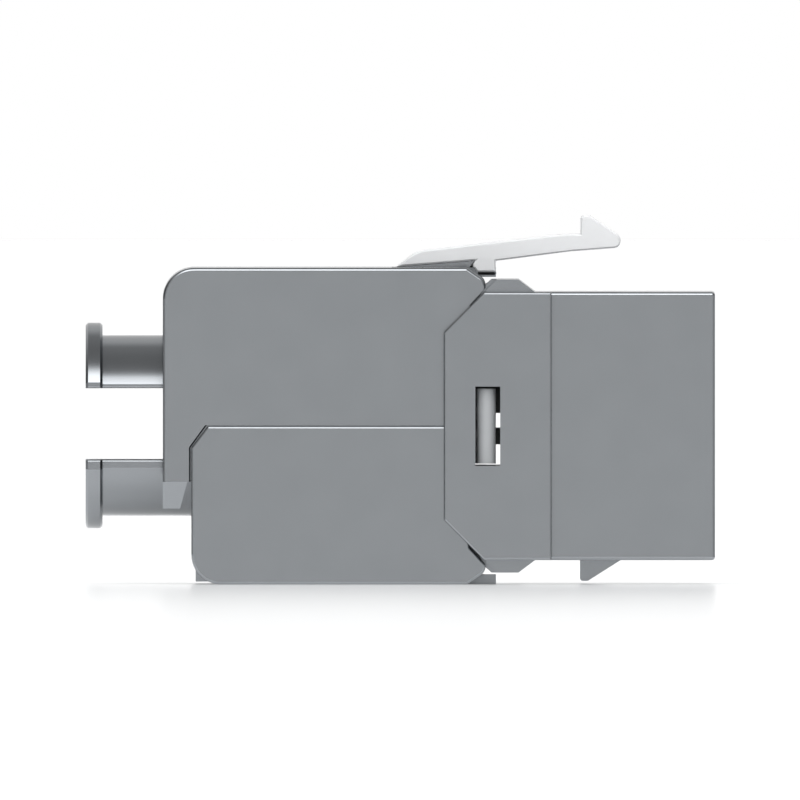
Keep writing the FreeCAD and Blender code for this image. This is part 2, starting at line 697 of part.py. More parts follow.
def upper_cover():
    cover = Piece("upper_cover")
    rear = -D.upper_rear
    wall_front = -D.wall_front
    wide, narrow, inside = D.upper_width * 0.5, D.skirt_width * 0.5, D.skirt_inside * 0.5
    wall_inner = rear + D.rear_wall
    collar(cover, rear, D.collar_lower_edge, True)
    # a closed block, hollowed from below and from the front
    cover.add("XZ", rectangle(rear, roof_end, D.running_gap, cover_top), -wide, wide)
    cover.add("XZ", rectangle(rear, roof_end, -D.skirt_drop, BITE), -narrow, narrow)
    beside_edge = Polygon(
        (rear, BITE),
        (skirt_top, BITE),
        (skirt_top, D.running_gap),
        (skirt_start, -D.lower_bevel_height),
        (skirt_start, -D.skirt_drop),
        (rear, -D.skirt_drop),
    )
    cover.add("XZ", beside_edge, -wide, wide)
    roof = cover_top - D.roof_wall
    cover.cut("XZ", rectangle(wall_inner, 0, -D.skirt_drop - PAST, roof), -inside, inside)
    cover.fillet(D.upper_corner, across((rear, cover_top)))
    cover.add_both("XZ", wall_end(True, D.running_gap), inside, wide)
    skirt = rectangle(roof_end - BITE, wall_front, -D.skirt_drop, BITE)
    cover.add_both("XZ", skirt, inside, narrow)
    cover.fillet(D.knuckle_round, across((hinge_x + D.knuckle_reach, cover_top - D.knuckle_slope)))
    cover.fillet(D.edge_round, on_sides(wide, at_roof_or_rear))
    cover.fillet(D.split_round, on_sides(wide, beside_lower_wall))
    # the notch lets the roof swing past the rail and the latch
    notch = rectangle(-D.notch_reach, 0, roof - BITE, cover_top + BITE)
    cover.cut("XZ", notch, -notch_side, notch_side)
    add_hinge_rolls(cover, True, inside + BITE)
    # the rear wall: cable bore, slot for the lower half collar, tapered lugs beside it
    slot = D.collar_radius + D.collar_gap
    outer, inner = rear - BITE, wall_inner + BITE
    cover.cut("YZ", Circle(0, 0, D.collar_bore), outer, inner)
    passage = rectangle(-slot, slot, -D.skirt_drop - PAST, D.collar_lower_edge)
    cover.cut("YZ", passage, outer, inner)
    lug_side = wide - D.lug_taper
    for side in (1, -1):
        lug = Polygon(
            (slot * side, -D.skirt_drop),
            (wide * side, -D.skirt_drop),
            (lug_side * side, -D.lug_drop),
            (slot * side, -D.lug_drop),
        )
        cover.add("YZ", lug, rear, wall_inner)
    bevel = Polygon(
        (wall_inner, -D.skirt_drop),
        (wall_inner - D.lug_taper, -D.lug_drop),
        (wall_inner - D.lug_taper, -D.lug_drop - PAST),
        (wall_inner + PAST, -D.lug_drop - PAST),
        (wall_inner + PAST, -D.skirt_drop),
    )
    cover.cut_both("XZ", bevel, slot - BITE, wide + BITE)
    return cover


def lower_cover():
    cover = Piece("lower_cover")
    edge = -D.lower_rear
    heel = edge + D.heel_inset
    heel_inner = heel + D.heel_wall
    outside, inside = D.lower_width * 0.5, D.lower_inside * 0.5
    floor = -cover_top + D.floor_inset
    side = Polygon(
        (edge, -cover_top),
        (roof_end, -cover_top),
        (roof_end, 0),
        (edge + D.lower_bevel_length, 0),
        (edge, -D.lower_bevel_height),
    )
    cover.add_both("XZ", side, inside, outside)
    cover.fillet(D.lower_corner, across((edge, -cover_top)))
    cover.add_both("XZ", wall_end(False, 0), inside, outside)
    cover.fillet(D.knuckle_round, across((hinge_x + D.knuckle_reach, D.knuckle_slope - cover_top)))
    cover.fillet(D.wall_round, on_sides(outside))
    # the floor and the rear wall lie a little inside the side walls' outline
    collar(cover, heel_inner, D.collar_upper_edge, False)
    between = inside + BITE
    cover.add("XZ", rectangle(heel, roof_end, floor, floor + D.roof_wall), -between, between)
    cover.add("XZ", rectangle(heel, heel_inner, floor, -D.heel_drop), -between, between)
    notch = rectangle(-D.notch_reach, 0, floor - BITE, floor + D.roof_wall + BITE)
    cover.cut("XZ", notch, -notch_side, notch_side)
    add_hinge_rolls(cover, False, between)
    cover.cut("YZ", Circle(0, 0, D.collar_bore), heel - BITE, heel_inner + BITE)
    return cover


def panel_latch():
    """The plastic latch: tail on the rail's seat, cheeks beside the nose, arm and hook above."""
    latch = Piece("panel_latch")
    rest = D.running_gap * 0.5
    step, front = -D.latch_step, -D.latch_front
    seat_front = -D.wedge_front + D.running_gap
    cheek_rear = front - D.cheek_length
    heel = cheek_rear - D.cheek_flare
    cheek_foot = cover_top - D.cheek_drop
    arm_top, tip_low = cover_top + D.arm_top, cover_top + D.tip_bottom
    tail = (-D.rail_reach, cover_top + D.wedge_heel + rest)
    shoulder_x, bend_x = -D.rail_reach + D.tail_length, step - D.arm_bend_setback
    shoulder = (shoulder_x, arm_top - (bend_x - shoulder_x) * ARM_SLOPE)
    arm_bend = (bend_x, arm_top)
    crown = (step, cover_top + D.latch_top)
    brow = (step + D.latch_crest, cover_top + D.latch_top)
    tip_upper, tip_lower = (-D.latch_tip, cover_top + D.tip_top), (-D.latch_tip, tip_low)
    kink = (step - D.arm_kink_setback, cover_top + D.arm_kink_level)
    toe = (front, cheek_foot)
    outline = Polygon(
        tail,
        shoulder,
        arm_bend,
        (step, arm_top),
        crown,
        brow,
        tip_upper,
        tip_lower,
        kink,
        (front, cover_top + D.arm_root),
        toe,
        (cheek_rear, cheek_foot),
        (heel, cover_top + rest),
        (heel, cover_top + D.cheek_heel),
        (seat_front, cover_top + D.wedge_rise + rest),
    )
    latch.add("XZ", outline, -rail_side, rail_side)
    clear = cover_top + D.running_gap
    relief = Polygon(
        (heel - BITE, cheek_foot - BITE),
        (front + BITE, cheek_foot - BITE),
        (front + BITE, cover_top + D.arm_root + D.relief_rise),
        (front - D.relief_run, clear),
        (heel - BITE, clear),
    )
    latch.cut("XZ", relief, -nose_side - D.fit_gap, nose_side + D.fit_gap)
    tongue_front = -D.nose_start + D.pocket_play
    tongue_rear = tongue_front - D.tongue_length
    tongue_top = cover_top + D.wedge_rise + D.tongue_root
    tongue = rectangle(tongue_rear, tongue_front, cover_top - D.tongue_drop, tongue_top)
    latch.add("XZ", tongue, -D.tongue_width * 0.5, D.tongue_width * 0.5)
    latch.fillet(D.tip_round, across(tip_upper, tip_lower))
    latch.fillet(D.edge_round, across(crown, brow))
    latch.fillet(D.tail_bend, across(shoulder))
    latch.fillet(D.arm_bend, across(arm_bend))
    latch.fillet(D.cheek_round, across(toe))
    latch.chamfer(D.latch_bevel, on_sides(rail_side))
    return latch


def contact_carrier():
    """The comb that holds the eight plug contacts above the port."""
    carrier = Piece("contact_carrier")
    half, front = D.carrier_width * 0.5, -D.carrier_front
    low, high = port_half, port_half + D.carrier_height
    rear = -D.port_depth
    carrier.add("YZ", rectangle(-half, half, low, high), rear, front)
    slot_top = D.contact_level + D.contact_thickness * 0.5 + D.fit_gap
    slot = D.carrier_slot * 0.5
    slots = [rectangle(y - slot, y + slot, low - BITE, slot_top) for y in contact_rows()]
    carrier.cut("YZ", slots, rear - BITE, front - D.carrier_slot)
    return carrier


def contact_rows():
    """The eight contacts' places across the port."""
    return [D.contact_pitch * (i - (CONTACTS - 1) * 0.5) for i in range(CONTACTS)]


def plug_contact(number, y):
    """A spring strip from the board over the carrier, round a tight bend and back down into the port."""
    contact = Piece("contact_%d" % number)
    half = D.contact_thickness * 0.5
    top, under = D.contact_level + half, D.contact_level - half
    nose = -D.contact_front
    chin = top - D.contact_turn
    tip = -D.contact_tip_setback
    outline = Polygon(
        (board_rear, top),
        (nose, top),
        (nose, chin),
        (tip, D.contact_tip_level),
        (tip, D.contact_tip_level + D.contact_slope),
        (nose - D.contact_thickness, chin + D.contact_slope * 0.5),
        (nose - D.contact_thickness, under),
        (board_rear, under),
    )
    contact.add("XZ", outline, y - D.contact_width * 0.5, y + D.contact_width * 0.5)
    contact.fillet(D.contact_bend, across((nose, top), (nose, chin)))
    return contact


def circuit_board():
    board = Piece("circuit_board")
    edges = rectangle(-board_half_width, board_half_width, -board_half_height, board_half_height)
    board.add("YZ", edges, board_rear, board_front)
    half_wide, half_high = D.contact_width * 0.5 + D.fit_gap, D.contact_thickness * 0.5 + D.fit_gap
    low, high = D.contact_level - half_high, D.contact_level + half_high
    holes = [rectangle(y - half_wide, y + half_wide, low, high) for y in contact_rows()]
    holes += [pin_hole(y, z) for y, z in terminal_places()]
    board.cut("YZ", holes, board_rear - BITE, board_front + BITE)
    return board


def terminal_places():
    """(y, z) of the eight terminals, four in the upper tower and four in the lower one."""
    columns = [D.terminal_pitch * (i - (TERMINALS_IN_ROW - 1) * 0.5) for i in range(TERMINALS_IN_ROW)]
    levels = (D.upper_terminal_level, -D.lower_terminal_level)
    return [(y, z) for z in levels for y in columns]


def pin_hole(y, z):
    half_wide = D.terminal_pin * 0.5 + D.fit_gap
    half_high = D.terminal_thickness * 0.5 + D.fit_gap
    return rectangle(y - half_wide, y + half_wide, z - half_high, z + half_high)


def idc_block():
    """The terminal block: a base plate on the board, two towers and a middle rib behind it."""
    block = Piece("idc_block")
    edges = rectangle(-board_half_width, board_half_width, -board_half_height, board_half_height)
    block.add("YZ", edges, base_rear, base_front)
    half = D.tower_width * 0.5
    block.add("YZ", rectangle(-half, half, D.upper_tower_low, D.upper_tower_high), tower_rear, base_rear)
    block.add("YZ", rectangle(-half, half, -D.lower_tower_low, -D.lower_tower_high), tower_rear, base_rear)
    block.add("YZ", rectangle(-half, half, -D.rib_low, -D.rib_high), -D.rib_reach, base_rear)
    half_wide = D.terminal_width * 0.5 + D.fit_gap
    half_high = D.terminal_thickness * 0.5 + D.fit_gap
    groove_side, groove_half = D.channel_width * 0.5, D.groove_height * 0.5
    slots, pins, grooves = [], [], []
    for y, z in terminal_places():
        slots.append(rectangle(y - half_wide, y + half_wide, z - half_high, z + half_high))
        pins.append(pin_hole(y, z))
        grooves.append(rectangle(y - groove_side, y + groove_side, z - groove_half, z + groove_half))
    block.cut("YZ", slots, tower_rear - BITE, base_rear)
    block.cut("YZ", pins, base_rear - BITE, base_front + BITE)
    block.cut("YZ", grooves, tower_rear - BITE, tower_rear + D.groove_depth)
    return block


def idc_terminal(number, y, z):
    """A forked blade: its slot cuts into a wire pressed in from the rear, its pin sits in the board."""
    terminal = Piece("idc_terminal_%d" % number)
    half, slot, pin_half = D.terminal_width * 0.5, D.terminal_slot * 0.5, D.terminal_pin * 0.5
    tip = tower_rear + D.terminal_recess
    shoulder = base_rear - D.fit_gap
    one_side = [
        (board_front, pin_half),
        (shoulder, pin_half),
        (shoulder, half),
        (tip, half),
        (tip, slot + D.lead_in_width),
        (tip + D.lead_in_depth, slot),
        (tip + D.terminal_slot_depth, slot),
    ]
    left = [(x, y + offset) for x, offset in one_side]
    right = [(x, y - offset) for x, offset in reversed(one_side)]
    thick = D.terminal_thickness * 0.5
    terminal.add("XY", Polygon(*left, *right), z - thick, z + thick)
    return terminal


def wire_manager():
    """The white cap over the towers: wire channels, a cable bore, and snap lugs in the ears' windows."""
    cap = Piece("wire_manager")
    half, top = D.manager_width * 0.5, chamber_top - D.manager_inset
    front, rear = -D.manager_front, tower_rear - D.manager_cap
    cap.add("YZ", rectangle(-half, half, -top, top), rear, front)
    pocket_half = D.tower_width * 0.5 + D.fit_gap
    pocket_end = tower_rear - D.fit_gap
    towers = (
        (D.upper_tower_low, D.upper_tower_high),
        (-D.lower_tower_low, -D.lower_tower_high),
    )
    for low, high in towers:
        pocket = rectangle(-pocket_half, pocket_half, low - D.fit_gap, high + D.fit_gap)
        cap.cut("YZ", pocket, pocket_end, front + BITE)
    cap.cut("YZ", Circle(0, 0, D.manager_bore), rear - BITE, pocket_end - D.manager_web)
    channel_half = D.channel_width * 0.5
    inner, outer = D.channel_inner, top + BITE
    columns = [y for y, z in terminal_places()[:TERMINALS_IN_ROW]]
    channels = [rectangle(y - channel_half, y + channel_half, inner, outer) for y in columns]
    channels += [rectangle(y - channel_half, y + channel_half, -outer, -inner) for y in columns]
    cap.cut("YZ", channels, rear - BITE, pocket_end)
    arm_outer = D.chamber_width * 0.5 - D.fit_gap
    snap_front = -D.snap_front
    snap_rear = snap_front - D.snap_length
    snap_half = D.snap_height * 0.5
    radius = D.snap_length * 0.5
    for side in (1, -1):
        arm = rectangle(front - PAST, snap_front, (arm_outer - D.snap_arm) * side, arm_outer * side)
        cap.add("XY", arm, -snap_half, snap_half)
        root = (arm_outer - BITE) * side
        crest_y = (D.snap_reach - radius) * side
        cap.add("XY", rectangle(snap_rear, snap_front, root, crest_y), -snap_half, snap_half)
        cap.add("XY", Circle(snap_rear + radius, crest_y, radius), -snap_half, snap_half)
    return cap


def shield_spring(name, side):
    """A bowed strip beside the port that touches a plug's shield."""
    spring = Piece(name)
    front = -D.spring_front
    rear = front - D.spring_length
    wall = D.port_width * 0.5 + D.spring_thickness
    low, bowed = wall - D.spring_thickness, wall - D.spring_thickness - D.spring_bow
    crest_back = bowed + D.spring_thickness
    foot_front, foot_rear = front - D.spring_foot, rear + D.spring_foot
    crest_front, crest_rear = foot_front - D.spring_rise, foot_rear + D.spring_rise
    port_side = [
        (front, low),
        (foot_front, low),
        (crest_front, bowed),
        (crest_rear, bowed),
        (foot_rear, low),
        (rear, low),
    ]
    wall_side = [
        (rear, wall),
        (foot_rear, wall),
        (crest_rear, crest_back),
        (crest_front, crest_back),
        (foot_front, wall),
        (front, wall),
    ]
    outline = Polygon(*[(x, y * side) for x, y in port_side + wall_side])
    spring.add("XY", outline, -D.spring_width * 0.5, D.spring_width * 0.5)
    return spring


def check_document():
    """Stop if a feature has failed or a sub-part isn't one valid solid."""
    for item in DOC.Objects:
        if "Invalid" in item.State or "Error" in item.State:
            raise RuntimeError("%s failed: %s" % (item.Label, item.State))
    for piece in PIECES:
        shape = piece.body.Shape
        if shape.isNull() or not shape.isValid() or len(shape.Solids) != 1:
            raise RuntimeError("%s isn't one valid solid" % piece.body.Label)


def build():
    front_housing()
    upper_cover()
    lower_cover()
    panel_latch()
    contact_carrier()
    for number, y in enumerate(contact_rows(), start=1):
        plug_contact(number, y)
    circuit_board()
    idc_block()
    for number, (y, z) in enumerate(terminal_places(), start=1):
        idc_terminal(number, y, z)
    wire_manager()
    shield_spring("shield_spring_left", 1)
    shield_spring("shield_spring_right", -1)
    DOC.recompute()
    check_document()
    os.makedirs("parts", exist_ok=True)
    for piece in PIECES:
        piece.body.Shape.exportStep("parts/%s.step" % piece.body.Label)
        box = piece.body.Shape.BoundBox
        corners = (box.XMin, box.XMax, box.YMin, box.YMax, box.ZMin, box.ZMax)
        print("%-22s x %7.2f..%7.2f  y %6.2f..%6.2f  z %6.2f..%6.2f" % (piece.body.Label, *corners))


build()
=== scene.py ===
"""Studio scene of a shielded keystone jack: die-cast shell, hinged covers, plastic latch and inner parts.

The frame is the jack's own: the origin is the centre of the front face, +X points out of the plug port and
+Z up to the latch. Lengths are in metres, apart from a finish's sizes, which are named in millimetres.
"""

from __future__ import annotations

import json
import logging
import math
from dataclasses import dataclass, field, replace
from enum import Enum
from typing import Any, Callable

import bmesh
import bpy
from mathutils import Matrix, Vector

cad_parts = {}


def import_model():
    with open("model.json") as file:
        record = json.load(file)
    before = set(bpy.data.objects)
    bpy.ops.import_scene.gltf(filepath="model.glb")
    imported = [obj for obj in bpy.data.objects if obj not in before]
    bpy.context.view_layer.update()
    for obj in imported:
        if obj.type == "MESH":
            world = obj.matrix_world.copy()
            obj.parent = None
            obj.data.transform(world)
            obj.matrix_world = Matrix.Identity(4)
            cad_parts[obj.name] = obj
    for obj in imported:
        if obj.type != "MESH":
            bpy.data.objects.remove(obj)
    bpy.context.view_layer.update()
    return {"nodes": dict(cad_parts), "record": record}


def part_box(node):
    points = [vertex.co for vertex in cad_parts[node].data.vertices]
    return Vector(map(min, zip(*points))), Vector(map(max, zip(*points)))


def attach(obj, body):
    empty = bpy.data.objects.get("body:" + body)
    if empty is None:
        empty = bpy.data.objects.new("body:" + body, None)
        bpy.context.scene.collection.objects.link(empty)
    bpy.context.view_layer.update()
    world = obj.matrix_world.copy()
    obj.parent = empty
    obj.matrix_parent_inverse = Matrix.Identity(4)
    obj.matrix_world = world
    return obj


LOG = logging.getLogger("keystone_jack")
MM = 0.001
WHITE_LIGHT = (1.0, 1.0, 1.0, 1.0)

# The sRGB curve: straight up to the knee, and a power curve above it.
SRGB_KNEE = 0.04045
SRGB_SLOPE = 12.92
SRGB_LIFT = 0.055
SRGB_POWER = 2.4
FULL_CHANNEL = 255

# How every finish draws its tone, roughness and grain, and how deep light goes where it scatters. A range
# is the stretch of the noise that is used.
CLOUD_DETAIL = 3.0
CLOUD_BREAKUP = 0.55
TONE_RANGE = (0.35, 0.65)
ROUGH_RANGE = (0.3, 0.7)
GRAIN_DETAIL = 2.0
SCATTER_SPREAD = (0.6, 0.6, 0.6)
SCATTER_DEPTH = 1.0 * MM

# Number of facets across each rounded edge.
ROUND_FACETS = 3


class Slot(Enum):
    """The record's material slots."""

    CASTING = "die_cast_metal"
    WHITE = "white_plastic"
    BLACK = "black_plastic"
    BOARD = "board_laminate"
    GOLD = "contact_gold"
    TIN = "terminal_bronze"
    STEEL = "spring_steel"


class Body(Enum):
    """The body that the added pieces ride on."""

    HOUSING = "housing"


class Axis(Enum):
    """The directions that the room's brightness changes along."""

    LENGTH = "X"
    DEPTH = "Y"
    HEIGHT = "Z"


def linear(colour: str) -> tuple[float, float, float, float]:
    """Turn an sRGB hex colour into linear light.

    Args:
        colour: Six hex digits after a hash sign.

    Returns:
        Linear red, green, blue and an alpha of one.
    """
    channels = [int(colour[i : i + 2], 16) / FULL_CHANNEL for i in (1, 3, 5)]
    light = [
        c / SRGB_SLOPE if c <= SRGB_KNEE else ((c + SRGB_LIFT) / (1.0 + SRGB_LIFT)) ** SRGB_POWER
        for c in channels
    ]
    return (light[0], light[1], light[2], 1.0)


def per_metre(size_mm: float) -> float:
    """Return the texture scale at which one feature is size_mm wide."""
    return 1.0 / (size_mm * MM)


@dataclass
class Graph:
    """A node tree that is being built.

    Attributes:
        tree: The material's or world's node tree.
    """

    tree: bpy.types.NodeTree

    def node(self, kind: str, settings: dict[str, Any] | None = None, **inputs: Any) -> bpy.types.Node:
        """Add a node with its settings, and its inputs as values or links.

        Args:
            kind: The node's type name.
            settings: Properties of the node itself.
            **inputs: Values or output sockets to link, each by its socket's name with spaces written as
                underscores, or by at_ and the socket's number where names repeat.

        Returns:
            The new node.
        """
        made = self.tree.nodes.new(kind)
        for name, value in (settings or {}).items():
            setattr(made, name, value)
        for name, value in inputs.items():
            if name.startswith("at_"):
                socket = made.inputs[int(name.removeprefix("at_"))]
            else:
                wanted = name.replace("_", " ").lower()
                socket = next(s for s in made.inputs if s.enabled and s.name.lower() == wanted)
            if isinstance(value, bpy.types.NodeSocket):
                self.tree.links.new(value, socket)
            else:
                socket.default_value = value
        return made


def blank_material(name: str) -> tuple[bpy.types.Material, Graph]:
    """Make a material with nothing in its node tree.

    Args:
        name: The material's name.

    Returns:
        The material, and the graph to build it in.
    """
    made = bpy.data.materials.new(name)
    made.use_nodes = True
    made.node_tree.nodes.clear()
    return made, Graph(made.node_tree)


@dataclass(frozen=True)
class Finish:
    """A surface finish: what the material is and how its surface was made.

    Attributes:
        name: The material's name.
        colour: Its base colour in sRGB hex.
        tone: A second colour that shows in faint, cloudy variation.
        cloud_mm: Size of the cloudy variation.
        roughness: Mean roughness.
        rough_swing: How far the roughness swings about its mean.
        grain_mm: Size of the surface's fine grain.
        grain_depth_mm: Depth of that grain.
        metallic: One for a bare metal, zero for the rest.
        stretch: Scale of the grain along X, Y and Z; less than one draws it out.
        subsurface: Share of light that scatters inside.
        edge_tint: How bright a metal's reflections stay where the surface is seen edge on.
    """

    name: str
    colour: str
    tone: str
    cloud_mm: float
    roughness: float
    rough_swing: float
    grain_mm: float
    grain_depth_mm: float
    metallic: float = 0.0
    stretch: tuple[float, float, float] = (1.0, 1.0, 1.0)
    subsurface: float = 0.0
    edge_tint: float = 1.0

    def material(self) -> bpy.types.Material:
        """Build the finish as a procedural material.

        Returns:
            The new material.
        """
        made, graph = blank_material(self.name)
        place = graph.node("ShaderNodeTexCoord").outputs["Object"]
        cloud = graph.node(
            "ShaderNodeTexNoise",
            Vector=place,
            Scale=per_metre(self.cloud_mm),
            Detail=CLOUD_DETAIL,
            Roughness=CLOUD_BREAKUP,
        ).outputs["Fac"]
        shader = graph.node(
            "ShaderNodeBsdfPrincipled",
            Base_Color=self.clouded_colour(graph, cloud),
            Metallic=self.metallic,
            Roughness=self.clouded_roughness(graph, cloud),
            Normal=self.grain(graph, place),
            Specular_Tint=(self.edge_tint, self.edge_tint, self.edge_tint, 1.0),
            Subsurface_Weight=self.subsurface,
            Subsurface_Radius=SCATTER_SPREAD,
            Subsurface_Scale=SCATTER_DEPTH,
        )
        graph.node("ShaderNodeOutputMaterial", Surface=shader.outputs["BSDF"])
        return made

    def clouded_colour(self, graph: Graph, cloud: bpy.types.NodeSocket) -> bpy.types.NodeSocket:
        """Let the second colour show through the first.

        Args:
            graph: The material's graph.
            cloud: The cloudy noise.

        Returns:
            The colour.
        """
        low, high = TONE_RANGE
        spread = graph.node("ShaderNodeMapRange", Value=cloud, From_Min=low, From_Max=high)
        mixed = graph.node(
            "ShaderNodeMix",
            {"data_type": "RGBA"},
            Factor=spread.outputs["Result"],
            A=linear(self.colour),
            B=linear(self.tone),
        )
        return next(s for s in mixed.outputs if s.enabled)

    def clouded_roughness(self, graph: Graph, cloud: bpy.types.NodeSocket) -> bpy.types.NodeSocket:
        """Let the roughness swing about its mean.

        Args:
            graph: The material's graph.
            cloud: The cloudy noise.

        Returns:
            The roughness.
        """
        low, high = ROUGH_RANGE
        return graph.node(
            "ShaderNodeMapRange",
            Value=cloud,
            From_Min=low,
            From_Max=high,
            To_Min=self.roughness - self.rough_swing,
            To_Max=self.roughness + self.rough_swing,
        ).outputs["Result"]

    def grain(self, graph: Graph, place: bpy.types.NodeSocket) -> bpy.types.NodeSocket:
        """Raise the fine grain.

        Args:
            graph: The material's graph.
            place: The place on the piece.

        Returns:
            The bumped normal.
        """
        drawn = graph.node("ShaderNodeMapping", Vector=place, Scale=self.stretch)
        grain = graph.node(
            "ShaderNodeTexNoise",
            Vector=drawn.outputs["Vector"],
            Scale=per_metre(self.grain_mm),
            Detail=GRAIN_DETAIL,
        )
        return graph.node(
            "ShaderNodeBump",
            Strength=1.0,
            Distance=self.grain_depth_mm * MM,
            Height=grain.outputs["Fac"],
        ).outputs["Normal"]


# The real grain of the metals and the moulded plastics is too fine to show, so theirs is drawn coarser.

# Zinc die casting, barrel-finished and nickel plated: an even satin grey that mirrors broad lights softly.
ZINC = Finish(
    name="satin_zinc_casting",
    colour="#878A8D",
    tone="#888B8E",
    cloud_mm=2.6,
    roughness=0.2,
    rough_swing=0.01,
    grain_mm=0.14,
    grain_depth_mm=0.0003,
    metallic=1.0,
    edge_tint=0.78,
)
# Moulded polycarbonate from a finely eroded tool: a clean white with a soft, low sheen.
WHITE = Finish(
    name="white_moulded_plastic",
    colour="#D9DADB",
    tone="#D6D7D8",
    cloud_mm=3.0,
    roughness=0.5,
    rough_swing=0.04,
    grain_mm=0.1,
    grain_depth_mm=0.0012,
    subsurface=0.05,
)
# The same white resin, darkened to light grey as painted shade, since the wire manager sits in the shell's
# shade.
WHITE_IN_PAINTED_SHADE = replace(WHITE, name="white_plastic_painted_shade", colour="#A3A5A7", tone="#A0A2A4")
# Glass-filled polyester from a textured tool: black, with a dull grain.
BLACK = Finish(
    name="black_glass_filled_plastic",
    colour="#1E1F20",
    tone="#232425",
    cloud_mm=1.4,
    roughness=0.48,
    rough_swing=0.06,
    grain_mm=0.09,
    grain_depth_mm=0.002,
)
# Epoxy laminate under green solder mask: glassy, and a little uneven over the glass cloth.
BOARD = Finish(
    name="green_masked_laminate",
    colour="#1F5A35",
    tone="#1B5230",
    cloud_mm=0.9,
    roughness=0.3,
    rough_swing=0.04,
    grain_mm=0.25,
    grain_depth_mm=0.001,
)
# Hard gold over nickel on spring strip: bright, with a soft grain drawn out along the jack's length.
GOLD = Finish(
    name="gold_plated_strip",
    colour="#D8B05C",
    tone="#CFA553",
    cloud_mm=0.8,
    roughness=0.22,
    rough_swing=0.03,
    grain_mm=0.05,
    grain_depth_mm=0.0004,
    metallic=1.0,
    stretch=(0.2, 1.0, 1.0),
)
# Tinned phosphor bronze: pale grey with a faint warm cast and a soft sheen, drawn out the same way.
TIN = Finish(
    name="tinned_bronze",
    colour="#BDB9B0",
    tone="#B3AEA4",
    cloud_mm=0.7,
    roughness=0.3,
    rough_swing=0.04,
    grain_mm=0.06,
    grain_depth_mm=0.0005,
    metallic=1.0,
    stretch=(0.3, 1.0, 1.0),
)
# Cold-rolled stainless spring strip: fine lines along the strip, which runs along the jack.
STEEL = Finish(
    name="rolled_spring_steel",
    colour="#ADAFB1",
    tone="#A5A7A9",
    cloud_mm=0.8,
    roughness=0.26,
    rough_swing=0.03,
    grain_mm=0.05,
    grain_depth_mm=0.0006,
    metallic=1.0,
    stretch=(0.1, 1.0, 1.0),
)
# Painted shade: a black, dull finish with no clear highlight, which stands in for the shadow under the
# latch's cheeks.
SHADE_BLACK = Finish(
    name="painted_shade_black",
    colour="#17181A",
    tone="#1B1C1E",
    cloud_mm=0.8,
    roughness=0.7,
    rough_swing=0.04,
    grain_mm=0.08,
    grain_depth_mm=0.001,
)


@dataclass
class Carried:
    """The jack's modelled parts, dressed in their finishes.

    Attributes:
        nodes: The parts by name.
        finishes: Which finish each material slot of the record takes.
        own: Parts whose colour differs from the rest of their slot; the wire manager's grey is painted
            shade.
    """

    nodes: dict[str, bpy.types.Object]
    finishes: dict[Slot, Finish] = field(
        default_factory=lambda: {
            Slot.CASTING: ZINC,
            Slot.WHITE: WHITE,
            Slot.BLACK: BLACK,
            Slot.BOARD: BOARD,
            Slot.GOLD: GOLD,
            Slot.TIN: TIN,
            Slot.STEEL: STEEL,
        }
    )
    # The wire manager's light grey is painted shade on white resin.
    own: dict[str, Finish] = field(default_factory=lambda: {"wire_manager": WHITE_IN_PAINTED_SHADE})

    def dress(self, record: dict[str, Any]) -> None:
        """Give every part the material of its slot, or its own.

        Args:
            record: The part's record, which names each part's slot.
        """
        of_slot = {slot: finish.material() for slot, finish in self.finishes.items()}
        of_part = {name: finish.material() for name, finish in self.own.items()}
        for part in record["subparts"]:
            name = part["node"]
            slots = self.nodes[name].data.materials
            slots.clear()
            slots.append(of_part.get(name) or of_slot[Slot(part["material_slot"])])
            LOG.info("dressed %s", name)


def deselect() -> None:
    """Leave object mode with nothing selected."""
    if bpy.context.mode != "OBJECT":
        bpy.ops.object.mode_set(mode="OBJECT")
    bpy.ops.object.select_all(action="DESELECT")


def settle(name: str) -> bpy.types.Object:
    """Name the piece that an operator has just made, and bake its place into its mesh.

    Args:
        name: The piece's name.

    Returns:
        The piece.
    """
    made = bpy.context.active_object
    made.name = name
    made.data.name = name
    bpy.ops.object.transform_apply(location=True, rotation=True, scale=True)
    return made


def copy_piece(piece: bpy.types.Object) -> bpy.types.Object:
    """Copy a piece, with a mesh of its own.

    Args:
        piece: The piece to copy.

    Returns:
        The copy.
    """
    made = piece.copy()
    made.data = piece.data.copy()
    bpy.context.collection.objects.link(made)
    return made


def pick(piece: bpy.types.Object, chosen: Callable[[bmesh.types.BMEdge], bool]) -> None:
    """Enter edit mode with only the chosen edges selected.

    Args:
        piece: The object to edit.
        chosen: True for each edge to select.
    """
    bpy.ops.object.mode_set(mode="EDIT")
    bpy.ops.mesh.select_mode(type="EDGE")
    bpy.ops.mesh.select_all(action="DESELECT")
    mesh = bmesh.from_edit_mesh(piece.data)
    for edge in mesh.edges:
        if chosen(edge):
            edge.select_set(True)
    mesh.select_flush(True)
    bmesh.update_edit_mesh(piece.data)


def round_edges(
    piece: bpy.types.Object,
    chosen: Callable[[bmesh.types.BMEdge], bool],
    radius: float,
    smooth_below: float,
) -> None:
    """Round the chosen edges and smooth the shading over them.

    Args:
        piece: The object to round.
        chosen: True for each edge to round.
        radius: Radius of the round.
        smooth_below: Angle in degrees under which two faces are shaded as one surface.
    """
    pick(piece, chosen)
    bpy.ops.mesh.bevel(offset=radius, segments=ROUND_FACETS, affect="EDGES")
    bpy.ops.object.mode_set(mode="OBJECT")
    bpy.ops.object.shade_smooth_by_angle(angle=math.radians(smooth_below))


